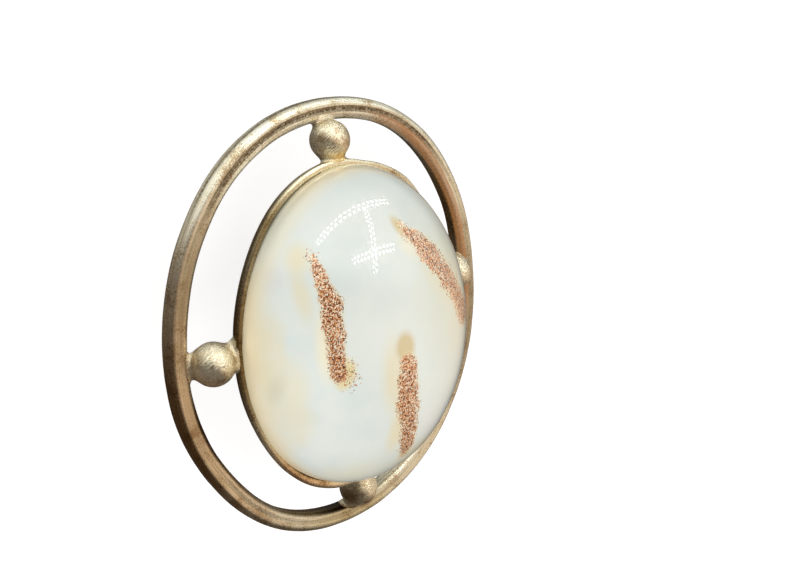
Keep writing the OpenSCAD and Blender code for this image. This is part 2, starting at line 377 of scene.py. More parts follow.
ringLook = {
    "light": (1.0, 1.0, 0.88), "mid": (1.0, 0.99, 0.79), "dark": (0.50, 0.39, 0.24), "deep": (0.10, 0.068, 0.035),
    "grain": 5.5, "patinaAndShade": 1.0, "satin": 0.20, "metal": 0.84, "lines": "sweep", "spread": 7.0, "lineShade": 0.42,
    "lineDepth": 1.0, "bump": 0.28,
    # fades in mm, out of the section, up from it, and over x and y: grime lies in the groove at the top alone,
    # a painted warm reflection, a dull copper tint, lies on the inner ridge at the right, and spots of tarnish and
    # painted shade keep to zones of the section
    "patinaAt": {"y": (10.0, 15.0)},
    "paintedReflection": {"out": (0.02, -0.14), "up": (0.42, 0.66), "x": (2.0, 9.0, 0.0, 0.95), "y": (-9.0, -2.0),
             "lines": (0.0, 1.0, 1.0, 0.72)},
    # tint and dulling of the painted warm reflection
    "paintedReflectionTint": (0.37, 0.165, 0.055), "paintedReflectionDull": 0.85,
    "zones": {"outer": {"out": (0.32, 0.66)}, "inner": {"out": (-0.43, -0.61), "up": (1.00, 0.84)},
              "edge": {"out": (-0.36, -0.52)}, "top": {"out": (0.60, 0.30)}},
    # zone, centre, size and tint of spots that are partly tarnish and partly painted shade and painted reflection
    "tarnishAndPaintedLight": [
        ("all", (-15.0, -4.0, 6.5), (12.0, 27.0, 9.0), (0.82, 0.68, 0.56)),
        ("outer", (-15.8, -6.5, 6.5), (13.0, 20.0, 9.0), (0.20, 0.13, 0.07)),
        ("outer", (-6.0, -17.5, 6.5), (9.0, 7.0, 9.0), (0.45, 0.38, 0.32)),
        ("top", (-15.2, 7.0, 6.5), (6.0, 9.5, 9.0), (0.58, 0.56, 0.52)),
        ("inner", (14.5, 8.0, 6.5), (12.0, 12.0, 9.0), (0.24, 0.17, 0.09)),
        ("edge", (-15.6, -5.8, 6.5), (5.0, 7.5, 9.0), (0.22, 0.17, 0.11)),
        ("inner", (-13.0, -9.0, 6.5), (8.0, 12.0, 8.0), (0.26, 0.20, 0.13)),
        ("inner", (-4.0, -16.5, 6.5), (11.0, 7.0, 8.0), (0.26, 0.20, 0.13)),
        ("inner", (0.0, -18.5, 6.5), (6.0, 6.0, 8.0), (0.12, 0.07, 0.03)),
        ("all", (17.0, -5.0, 6.5), (9.0, 17.0, 9.0), (0.52, 0.48, 0.42)),
        ("all", (0.0, -19.5, 6.0), (9.0, 4.0, 6.0), (0.84, 0.78, 0.62)),
    ],
}
cupLook = {
    "light": (0.96, 0.89, 0.66), "mid": (0.82, 0.73, 0.50), "dark": (0.42, 0.31, 0.18), "deep": (0.14, 0.09, 0.05),
    "grain": 6.0, "patinaAndShade": 0.8, "satin": 0.22, "metal": 0.92, "lines": "sweep", "spread": 7.0, "lineShade": 0.15,
    "lineDepth": 0.4, "bump": 0.36, "zones": {},
    "tarnishAndPaintedLight": [
        # spots that are partly tarnish and partly painted shade: the left wall darker, and a warm painted
        # reflection low on the left
        ("all", (-12.0, 1.0, 8.0), (7.0, 14.0, 5.0), (0.27, 0.20, 0.12)),
        ("all", (-7.5, 10.2, 8.0), (7.0, 6.0, 5.0), (0.37, 0.31, 0.22)),
        ("all", (-7.0, -12.5, 8.0), (8.0, 6.0, 5.0), (0.90, 0.70, 0.58)),
    ],
}
ballLook = {
    "light": (1.0, 0.96, 0.76), "mid": (1.0, 0.93, 0.70), "dark": (0.62, 0.48, 0.31), "deep": (0.20, 0.13, 0.07),
    "grain": 1.8, "patinaAndShade": 0.4, "satin": 0.16, "metal": 0.90, "lines": (0.70, 0.64, 0.32), "spread": 9.0,
    "lineShade": 0.45, "lineDepth": 3.0, "bump": 0.42,
    "solder": (0.86, 0.78, 0.58), "solderCover": 0.6, "solderRough": 0.14,
    "tarnishAndPaintedLight": [
        # spots of painted light: painted shade under and left of the balls, and warm painted reflections low on
        # them
        ("all", (0.3, 15.1, 8.4), (1.8, 1.1, 1.8), (1.0, 0.80, 0.40)),
        ("all", (-14.3, -1.0, 7.8), (1.9, 1.5, 2.0), (0.85, 0.64, 0.50)),
        ("all", (0.0, -18.6, 7.0), (2.6, 1.6, 2.2), (0.26, 0.18, 0.11)),
        ("all", (0.9, -17.3, 8.6), (0.9, 0.9, 0.9), (1.0, 0.66, 0.46)),
        ("all", (-0.6, -16.6, 8.0), (1.6, 1.9, 2.0), (0.24, 0.17, 0.12)),
        ("all", (-17.0, 0.0, 6.5), (2.4, 9.0, 3.0), (0.60, 0.46, 0.34)),
    ],
}
clipLook = {
    "light": (0.88, 0.77, 0.52), "mid": (0.74, 0.60, 0.37), "dark": (0.36, 0.25, 0.14), "deep": (0.18, 0.12, 0.07),
    "grain": 4.0, "patinaAndShade": 0.4, "satin": 0.26, "metal": 1.0, "lines": (0.0, 1.0, 0.0), "spread": 5.0,
    "lineShade": 0.25, "lineDepth": 0.6, "bump": 0.4, "tarnishAndPaintedLight": [],
}
ringMetal = brassMaterial("ringBrass", ringLook)
cupMetal = brassMaterial("cupBrass", cupLook)
ballMetal = brassMaterial("ballBrass", ballLook)
clipMetal = brassMaterial("clipBrass", clipLook)
print("brass is mixed")


# ring and cup: a section swept round an oval of four arcs

sweep = {
    # the arcs meet in pairs where both face the direction (cosine, sine), and over is how far its sum is over 1
    "cosine": 0.8, "sine": 0.6, "over": 0.4,
    # lengths round the oval go by this radius, in m, and the unevenness has this scale and detail
    "meanRadius": 0.018, "lumps": (220.0, 2.0),
}

sweepTree, given, result = newGroup(
    "ovalSweep", "GeometryNodeTree",
    {"Geometry": ("Section",), "Float": ("Half Width", "Half Height", "Height", "Unevenness", "Seed"),
     "Int": ("Segments",), "Material": ("Material",)},
    {"Geometry": ("Geometry",)})


def geo(kind, inputs=None, **settings):
    # a node by its first output
    return addNode(sweepTree, kind, inputs, **settings).outputs[0]


def sums(operation, first, second=0.0, third=0.0):
    return calc(sweepTree, operation, first, second, third)


circle = geo("GeometryNodeCurvePrimitiveCircle", {"Resolution": given["Segments"], "Radius": 1.0}, mode="RADIUS")
turn = sums("DIVIDE", sums("MULTIPLY", geo("GeometryNodeInputIndex"), math.tau), given["Segments"])
cosine, sine = sums("COSINE", turn), sums("SINE", turn)
step = sums("DIVIDE", sums("SUBTRACT", given["Half Height"], given["Half Width"]), sweep["over"])
atSide = sums("LESS_THAN", sums("ABSOLUTE", sine), sweep["sine"])
atEnd = sums("SUBTRACT", 1.0, atSide)
sideRadius = sums("MULTIPLY_ADD", step, sweep["cosine"], given["Half Width"])
endRadius = sums("MULTIPLY_ADD", step, -sweep["sine"], given["Half Height"])
radius = sums("ADD", sums("MULTIPLY", sideRadius, atSide), sums("MULTIPLY", endRadius, atEnd))
sideShift = chain(sweepTree, "MULTIPLY", [step, -sweep["cosine"], sums("SIGN", cosine), atSide])
endShift = chain(sweepTree, "MULTIPLY", [step, sweep["sine"], sums("SIGN", sine), atEnd])
path = geo("ShaderNodeCombineXYZ", {0: sums("MULTIPLY_ADD", radius, cosine, sideShift),
                                    1: sums("MULTIPLY_ADD", radius, sine, endShift), 2: given["Height"]})
oval = geo("GeometryNodeSetPosition", {"Geometry": circle, "Position": path})
oval = geo("GeometryNodeSetCurveNormal", {0: oval}, mode="Z_UP")
halfway = sums("MULTIPLY", sums("PINGPONG", sums("ADD", turn, math.pi / 2), math.pi), sweep["meanRadius"])
oval = geo("GeometryNodeStoreNamedAttribute", {"Geometry": oval, "Name": "along", "Value": halfway},
           data_type="FLOAT", domain="POINT")
outline = geo("GeometryNodeMeshToCurve", {0: given["Section"]})
swept = geo("GeometryNodeCurveToMesh", {"Curve": oval, "Profile Curve": outline})
spot = vectorCalc(sweepTree, "ADD", geo("GeometryNodeInputPosition"),
                  geo("ShaderNodeCombineXYZ", {2: given["Seed"]}))
lump = noiseOf(sweepTree, spot, *sweep["lumps"])[0]
push = vectorCalc(sweepTree, "SCALE", geo("GeometryNodeInputNormal"),
                  scale=sums("MULTIPLY", lump, given["Unevenness"]))
swept = geo("GeometryNodeSetPosition", {"Geometry": swept, "Offset": push})
swept = geo("GeometryNodeRealizeInstances", {0: swept})
swept = geo("GeometryNodeSetMaterial", {"Geometry": swept, "Material": given["Material"]})
sweepTree.links.new(swept, result["Geometry"])


def circularBlur(values, spread):
    # evens out values that run round a closed outline; spread is in steps
    reach = np.minimum(np.arange(len(values)), len(values) - np.arange(len(values)))
    weights = np.exp(-0.5 * (reach / spread) ** 2)
    return np.real(np.fft.ifft(np.fft.fft(values) * np.fft.fft(weights / weights.sum())))


def sweepPiece(name, outline, size):
    # the outline's corners are in mm, x out of the oval and y to the front, each with how hollow it is there,
    # which on the cup also holds painted shade and painted light
    mesh = bpy.data.meshes.new(name)
    count = len(outline)
    edges = [(i, (i + 1) % count) for i in range(count if size["closed"] else count - 1)]
    mesh.from_pydata([(x * mm, -y * mm, 0) for x, y, _ in outline], edges, [])
    section = mesh.attributes.new("section", "FLOAT_VECTOR", "POINT")
    section.data.foreach_set("vector", [v * mm for x, y, _ in outline for v in (x, y, 0)])
    mesh.attributes.new("hollowAndShade", "FLOAT", "POINT").data.foreach_set("value", [corner[2] for corner in outline])
    piece = bpy.data.objects.new(name, mesh)
    scene.collection.objects.link(piece)
    modifier = piece.modifiers.new("ovalSweep", "NODES")
    modifier.node_group = sweepTree
    inMm = ("Half Width", "Half Height", "Height", "Unevenness")
    for item in sweepTree.interface.items_tree:
        if item.item_type == "SOCKET" and item.in_out == "INPUT" and item.name in size:
            value = size[item.name]
            modifier[item.identifier] = value * mm if item.name in inMm else value
    return keepResult(piece)


def closeEnds(piece):
    # fills the open loops that an unclosed section leaves
    work = bmesh.new()
    work.from_mesh(piece.data)
    loose = [edge for edge in work.edges if edge.is_boundary]
    if loose:
        bmesh.ops.holes_fill(work, edges=loose, sides=0)
    bmesh.ops.recalc_face_normals(work, faces=work.faces)
    work.to_mesh(piece.data)
    work.free()


ring = {
    # the section is the outline of three rods, the wire, a band and a bead: middle and radius of each
    "rods": [((0.0, -0.075), 0.97), ((0.366, 0.340), 0.60), ((-0.366, 0.324), 0.63)],
    "corners": 96, "softness": 1.0, "grooveShade": 8.0, "grooveWide": 6.0, "leastFacing": 0.2,
    # how far the hand-bent wire strays from the oval: degrees round it, and mm outwards
    "bend": ((0, -0.36), (12, -0.30), (24, -0.05), (45, 0.0), (68, 0.0), (82, -0.20), (92, -0.17), (104, 0.0),
             (125, 0.10), (150, 0.14), (168, 0.0), (190, 0.05), (203, 0.0), (222, -0.22), (232, -0.21), (246, 0.0),
             (290, -0.05), (310, 0.0), (328, 0.0), (345, -0.20), (360, -0.36)),
    "bendStep": 2, "bendBlur": 3.0,    # in degrees, and in steps
    # where wear has evened out the groove: degrees round the wire, and by how much
    "worn": ((0, 0.0), (158, 0.0), (183, 0.9), (210, 0.9), (232, 0.2), (252, 0.7), (272, 0.8), (292, 0.0),
             (360, 0.0)),
    "size": {"Half Width": 16.4, "Half Height": 19.0, "Height": 6.15, "Segments": 480, "Unevenness": 0.10,
             "Seed": 0.3, "Material": ringMetal, "closed": True},
}

angles = np.linspace(0, math.tau, ring["corners"], endpoint=False)
rays = np.stack([np.cos(angles), np.sin(angles)], 1)
reach = np.zeros(len(angles))
for middle, radius in ring["rods"]:
    alongRay = rays @ np.array(middle)
    inside = radius ** 2 - np.dot(middle, middle) + alongRay ** 2
    reach = np.maximum(reach, np.where(inside > 0, alongRay + np.sqrt(np.maximum(inside, 0)), 0))
reach = circularBlur(reach, ring["softness"])
groove = circularBlur(reach, ring["grooveWide"]) - reach
hollowAndShade = np.clip(plainHollow + ring["grooveShade"] * groove, 0, 1)
corners = rays * reach[:, None]
# the section's hull, which has no groove, as a share more than the section reaches
tangent = (corners @ rays.T).max(axis=0)
facing = rays @ rays.T
least = ring["leastFacing"]
hull = np.where(facing > least, tangent / np.maximum(facing, least), np.inf).min(axis=1)
evened = hull / reach - 1
ringPiece = sweepPiece("ring", np.column_stack([corners, hollowAndShade]), ring["size"])
closeEnds(ringPiece)
fineAngles = np.arange(0, 360, ring["bendStep"])
bendSmooth = circularBlur(np.interp(fineAngles, *zip(*ring["bend"])), ring["bendBlur"])


def pointsOf(piece):
    # a piece's points in mm
    points = np.empty(len(piece.data.vertices) * 3, np.float32)
    piece.data.vertices.foreach_get("co", points)
    return points.reshape(-1, 3).astype(float) / mm


def movePoints(piece, points):
    piece.data.vertices.foreach_set("co", (points * mm).astype(np.float32).ravel())
    piece.data.update()


def roundThe(p):
    # degrees round the oval, and the direction straight out of the middle
    turn = np.degrees(np.arctan2(p[:, 1], p[:, 0])) % 360
    return turn, p[:, :2] / np.linalg.norm(p[:, :2], axis=1, keepdims=True)


def ringBend(p):
    return np.interp(roundThe(p)[0], fineAngles, bendSmooth, period=360)


def outOfOval(p, size):
    # how far points lie out of the oval of four arcs
    x, y = np.abs(p[:, 0]), np.abs(p[:, 1])
    a, b, cosine, sine = size["Half Width"], size["Half Height"], sweep["cosine"], sweep["sine"]
    step = (b - a) / sweep["over"]
    side = np.hypot(x + cosine * step, y) - (a + cosine * step)
    end = np.hypot(x, y - sine * step) - (b - sine * step)
    return np.where(cosine * y < sine * (x + cosine * step), side, end)


p = pointsOf(ringPiece)
turn, outward = roundThe(p)
x, y = outOfOval(p, ring["size"]), p[:, 2] - ring["size"]["Height"]
more = np.interp(np.arctan2(y, x), angles, evened, period=math.tau)
more *= np.interp(turn, *zip(*ring["worn"]), period=360)
p[:, :2] += outward * (ringBend(p) + x * more)[:, None]
p[:, 2] += y * more
movePoints(ringPiece, p)
dress(ringPiece, "setting", "earring")
print("ring is swept:", len(ringPiece.data.polygons), "faces")

cup = {
    "wall": 0.30, "back": 0.50, "depth": 1.70, "lipRadius": 0.24, "lipWide": 0.35, "lipTurn": (-20, 200),
    # how far in the section goes, where the sheet under the stone starts, its bend, and heights up the inner wall
    "inwards": 9.0, "sheetFrom": 1.5, "corner": 0.2, "innerWall": (1.2, 0.95, 0.7),
    # below the middle of the lip: where the wall ends, and from where it lies in the lip's shade
    "wallEnd": 0.18, "shadeFrom": 0.3,
    "steps": {"behind": 24, "wall": 18, "lip": 22, "sheet": 12},
    # how hollow each part is, with painted light in it: the wall in the lip's shade and the corner are painted
    # dark, the lip and the inner wall painted light
    "hollowAndShade": {"behind": 0.5, "wall": 0.60, "shade": 0.80, "lip": 0.25, "inner": 0.3, "corner": 0.8,
               "sheet": 0.6},
    # the rim as a slab: half depth and half height without its round edge, and the edge's radius
    "slab": (2.8, 0.65, 0.2),
    # how far the wall leans in, from its back edge upwards: height and lean
    "lean": ((0.0, 0.95), (0.06, 0.84), (0.40, 0.56), (0.90, 0.14), (1.15, 0.03), (1.40, 0.0)),
    # how far the rim strays from the oval: degrees round it, and mm outwards
    "bend": ((0, 0.0), (58, 0.0), (69, -0.22), (79, -0.34), (88, -0.15), (97, 0.0), (222, 0.0), (238, 0.08),
             (249, 0.22), (259, 0.30), (272, 0.28), (285, 0.10), (300, 0.0), (360, 0.0)),
    "bendDeep": 4,    # how far in from the rim the bend reaches
    "size": {"Half Width": 12.0, "Half Height": 15.0, "Height": 7.1, "Segments": 480, "Unevenness": 0.06,
             "Seed": 0.7, "Material": cupMetal, "closed": False},
}

leanAt, leanBy = zip(*cup["lean"])
lipTop = cup["depth"] - cup["lipRadius"]
steps, shade = cup["steps"], cup["hollowAndShade"]
outline = [(x, 0.0, shade["behind"])
           for x in np.linspace(-cup["inwards"], -leanBy[0], steps["behind"], endpoint=False)]
outline += [(-np.interp(y, leanAt, leanBy), y, shade["shade" if y > lipTop - cup["shadeFrom"] else "wall"])
            for y in np.linspace(0.0, lipTop - cup["wallEnd"], steps["wall"])]
outline += [(cup["lipWide"] * (math.cos(a) - 1), lipTop + cup["lipRadius"] * math.sin(a), shade["lip"])
            for a in np.radians(np.linspace(*cup["lipTurn"], steps["lip"]))]
outline += [(-cup["wall"], y, shade["inner"]) for y in cup["innerWall"]]
outline += [(-cup["wall"] - cup["corner"], cup["back"], shade["corner"])]
outline += [(x, cup["back"], shade["sheet"])
            for x in np.linspace(-cup["sheetFrom"], -cup["inwards"], steps["sheet"])]
cupPiece = sweepPiece("cup", outline, cup["size"])
closeEnds(cupPiece)


def cupBend(p):
    return np.interp(roundThe(p)[0], *zip(*cup["bend"]), period=360)


p = pointsOf(cupPiece)
nearRim = np.clip(1 + outOfOval(p, cup["size"]) / cup["bendDeep"], 0, 1)
p[:, :2] += roundThe(p)[1] * (nearRim * cupBend(p))[:, None]
movePoints(cupPiece, p)
dress(cupPiece, "setting", "earring")
print("cup is swept:", len(cupPiece.data.polygons), "faces")


# balls, with the solder that has run on to the ring and the cup

balls = {
    "level": 7.55, "cell": 0.085, "reach": 3.25,
    # place, radius, half widths of the solder towards the ring and the cup, and how far the solder to the cup
    # slants upwards
    "each": [((13.45, 1.3), 1.80, 0.80, 0.75, 0.0), ((0.0, 16.4), 1.75, 0.62, 1.10, 0.0),
             ((-13.6, 0.0), 1.90, 1.15, 0.70, 1.1), ((0.75, -16.4), 1.75, 0.85, 0.80, 0.0)],
    # the solder: reach from a ball's middle, rise to the cup, half thickness, fillets on the ball and on the ring
    # and cup, and how far the skin keeps below those two
    "towardsRing": 2.05, "towardsCup": 2.1, "cupRise": 0.3, "thick": 0.50,
    "waist": 0.45, "flow": 0.70, "sunk": 0.14,
    # how the skin is drawn on to the true surface
    "rounds": 3, "probe": 0.01, "leastSlope": 0.2, "longestMove": 0.04,
    # unevenness of the balls: scale, kind of fractal, and depth as a share of the radius
    "lumpScale": 0.9, "lumpKind": (1.0, 2.0, 3), "lumpDepth": 0.014,
    # where the solder's tint comes in: in ball radii from the middle, and in mm out of the ring and the cup
    "tintFar": (1.01, 1.15), "tintProud": (-0.08, 0.08),
}


def ringDepth(p):
    x, y = outOfOval(p, ring["size"]) - ringBend(p), p[:, 2] - ring["size"]["Height"]
    return np.min([np.hypot(x - middle[0], y - middle[1]) - radius for middle, radius in ring["rods"]], axis=0)


def cupDepth(p):
    # the rim as a slab with round edges, which is near enough under the solder
    deep, high, edge = cup["slab"]
    up = p[:, 2] - cup["size"]["Height"]
    x = outOfOval(p, cup["size"]) + deep + edge + np.interp(up, leanAt, leanBy) - cupBend(p)
    dx, dy = x - deep, np.abs(up - high - edge) - high
    return np.hypot(np.maximum(dx, 0), np.maximum(dy, 0)) + np.minimum(np.maximum(dx, dy), 0) - edge


def merge(first, second, flow):
    # joins two distances with a soft fillet
    h = np.maximum(flow - np.abs(first - second), 0) / flow
    return np.minimum(first, second) - h * h * flow / 4


def neck(p, start, end, wide, thick):
    # a bar between two points, wide along the ring and thin from front to back
    run = end - start
    t = np.clip((p - start) @ run / (run @ run), 0, 1)
    off = p - start - t[:, None] * run
    along = np.cross((0, 0, 1), run / np.linalg.norm(run))
    sideways = off @ along
    rest = np.linalg.norm(off - sideways[:, None] * along, axis=1)
    return (np.hypot(sideways / wide, rest / thick) - 1) * thick


def skinOf(depth, centre, reach, cell):
    # a closed skin of quads where the depth is nought, in a cube round the centre
    ticks = np.arange(-reach - cell, reach + 2 * cell, cell)
    n = len(ticks)
    grid = np.stack(np.meshgrid(ticks, ticks, ticks, indexing="ij"), -1)
    value = depth((grid + centre).reshape(-1, 3)).reshape(n, n, n)
    total, hits = np.zeros((n - 1, n - 1, n - 1, 3)), np.zeros((n - 1, n - 1, n - 1))
    faces, unit = [], np.eye(3, dtype=int)
    for axis in range(3):
        j, k = [other for other in range(3) if other != axis]
        v0, v1 = np.delete(value, -1, axis), np.delete(value, 0, axis)
        crossed = (v0 < 0) != (v1 < 0)
        part = np.where(crossed, v0 / np.where(crossed, v0 - v1, 1), 0)
        for dj in (0, 1):
            for dk in (0, 1):
                pick = [slice(None)] * 3
                pick[j], pick[k] = slice(dj, n - 1 + dj), slice(dk, n - 1 + dk)
                c, f = crossed[tuple(pick)], part[tuple(pick)]
                shift = np.zeros(c.shape + (3,))
                shift[..., axis], shift[..., j], shift[..., k] = f, dj, dk
                total += shift * c[..., None]
                hits += c
        at = np.argwhere(crossed)
        at = at[((at[:, [j, k]] > 0) & (at[:, [j, k]] < n - 1)).all(axis=1)]
        corners = [at - unit[j] - unit[k], at - unit[k], at, at - unit[j]]
        faces.append(np.stack([np.ravel_multi_index(c.T, (n - 1,) * 3) for c in corners], 1))
    used = hits > 0
    number = np.cumsum(used.ravel()) - 1
    points = np.argwhere(used) + total[used] / hits[used][:, None]
    return centre + ticks[0] + points * cell, number[np.concatenate(faces)]


def solderedBall(ball):
    (x, y), r, ringWide, cupWide, slant = ball
    centre = np.array([x, y, balls["level"]])
    away = np.array([0, np.sign(y), 0]) if abs(y) > abs(x) else np.array([np.sign(x), 0, 0])
    drop = np.array([0, 0, ring["size"]["Height"] - balls["level"]])
    towardsRing = centre + away * balls["towardsRing"] + drop
    towardsCup = centre - away * balls["towardsCup"] + np.array([0, slant, balls["cupRise"]])

    def depth(p):
        solid = np.linalg.norm(p - centre, axis=1) - r
        for end, wide, under in ((towardsRing, ringWide, ringDepth), (towardsCup, cupWide, cupDepth)):
            solid = merge(solid, neck(p, centre, end, wide, balls["thick"]), balls["waist"])
            solid = merge(solid, under(p) + balls["sunk"], balls["flow"])
        return np.maximum(solid, np.linalg.norm(p - centre, axis=1) - balls["reach"])

    points, faces = skinOf(depth, centre, balls["reach"], balls["cell"])
    for _ in range(balls["rounds"]):
        # draws the skin on to the true surface
        here, probe = depth(points), balls["probe"]
        slope = np.stack([depth(points + direction * probe) - here for direction in np.eye(3)], 1) / probe
        move = -here / np.maximum((slope * slope).sum(1), balls["leastSlope"])
        points = points + slope * np.clip(move, -balls["longestMove"], balls["longestMove"])[:, None]
    lump = np.array([noise.fractal(Vector(q) * balls["lumpScale"], *balls["lumpKind"]) for q in points])
    points = centre + (points - centre) * (1 - balls["lumpDepth"] * np.clip(lump + 0.5, 0, 1))[:, None]
    far = np.linalg.norm(points - centre, axis=1) / r
    proud = np.minimum(ringDepth(points), cupDepth(points))
    solder = np.interp(far, balls["tintFar"], (0, 1)) * np.interp(proud, balls["tintProud"], (0, 1))
    return points, faces, solder


skins = [solderedBall(ball) for ball in balls["each"]]
points, faces = joined([skin[:2] for skin in skins])
ballPiece = meshObject("balls", points * mm, faces, ballMetal)
solder = ballPiece.data.attributes.new("solder", "FLOAT", "POINT")
solder.data.foreach_set("value", np.concatenate([skin[2] for skin in skins]))
closeEnds(ballPiece)
dress(ballPiece, "setting", "earring")
print("balls are soldered on:", len(ballPiece.data.polygons), "faces")


# clip: base plate, ears and spring tongue on the back of the cup

clip = {
    "plateWidth": 6.4, "plateFoot": -10.5, "plateTop": 3.0, "plateLevel": 6.4, "plateThick": 0.78,
    "pinAt": (-9.0, 3.6), "earRadius": 1.5, "earInner": 2.0, "earThick": 0.7, "earSunk": 0.1, "earCorners": 72,
    "holeRadius": 0.52, "tongueRoot": -4.2, "tongueLong": 3.2, "tongueSunk": 0.4, "tongueWide": 2.6,
    "tongueThick": 0.35, "tongueSlope": 25.0, "edge": 0.09, "edgeSegments": 2, "edgeAngle": 50,
}


def boxPoints(xs, ys, zs):
    # a box from its two limits each way
    faces = [(0, 1, 3, 2), (4, 6, 7, 5), (0, 4, 5, 1), (2, 3, 7, 6), (0, 2, 6, 4), (1, 5, 7, 3)]
    return [(x, y, z) for x in xs for y in ys for z in zs], faces


def earPoints(xs):
    # a ring of material round the pin, round below and square where it meets the plate
    count, (pinY, pinZ) = clip["earCorners"], clip["pinAt"]
    top = clip["plateLevel"] + clip["earSunk"] - pinZ
    points, faces = [], []
    for i in range(count):
        c, s = math.cos(math.tau * i / count), math.sin(math.tau * i / count)
        out = min(clip["earRadius"] / abs(c), top / s) if s > 0 else clip["earRadius"]
        points += [(x, pinY + r * c, pinZ + r * s) for x in xs for r in (clip["holeRadius"], out)]
        a, b = 4 * i, 4 * ((i + 1) % count)
        faces += [(a, a + 1, b + 1, b), (a + 2, b + 2, b + 3, a + 3), (a + 1, a + 3, b + 3, b + 1),
                  (a, b, b + 2, a + 2)]
    return points, faces


half, level = clip["plateWidth"] / 2, clip["plateLevel"]
parts = [boxPoints((-half, half), (clip["plateFoot"], clip["plateTop"]), (level, level + clip["plateThick"]))]
parts += [earPoints((x, x + clip["earThick"])) for x in (-clip["earInner"] - clip["earThick"], clip["earInner"])]
half, slope = clip["tongueWide"] / 2, math.radians(clip["tongueSlope"])
tongue, faces = boxPoints((-half, half), (-clip["tongueLong"], clip["tongueSunk"]), (0, clip["tongueThick"]))
tongue = [(x, clip["tongueRoot"] + y * math.cos(slope) - z * math.sin(slope),
           level + y * math.sin(slope) + z * math.cos(slope)) for x, y, z in tongue]
points, faces = joined(parts + [(tongue, faces)])
basePiece = meshObject("clipBase", points * mm, faces, clipMetal)
closeEnds(basePiece)
bevel = basePiece.modifiers.new("edges", "BEVEL")
bevel.width = clip["edge"] * mm
bevel.segments = clip["edgeSegments"]
bevel.limit_method = "ANGLE"
bevel.angle_limit = math.radians(clip["edgeAngle"])
keepResult(basePiece)
dress(basePiece, "setting", "earring")
for name in ("clip_lever", "hinge_pin"):
    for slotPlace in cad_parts[name].material_slots:
        slotPlace.material = clipMetal
print("clip is finished")


# stone: a milky glass dome with streaks of copper grains

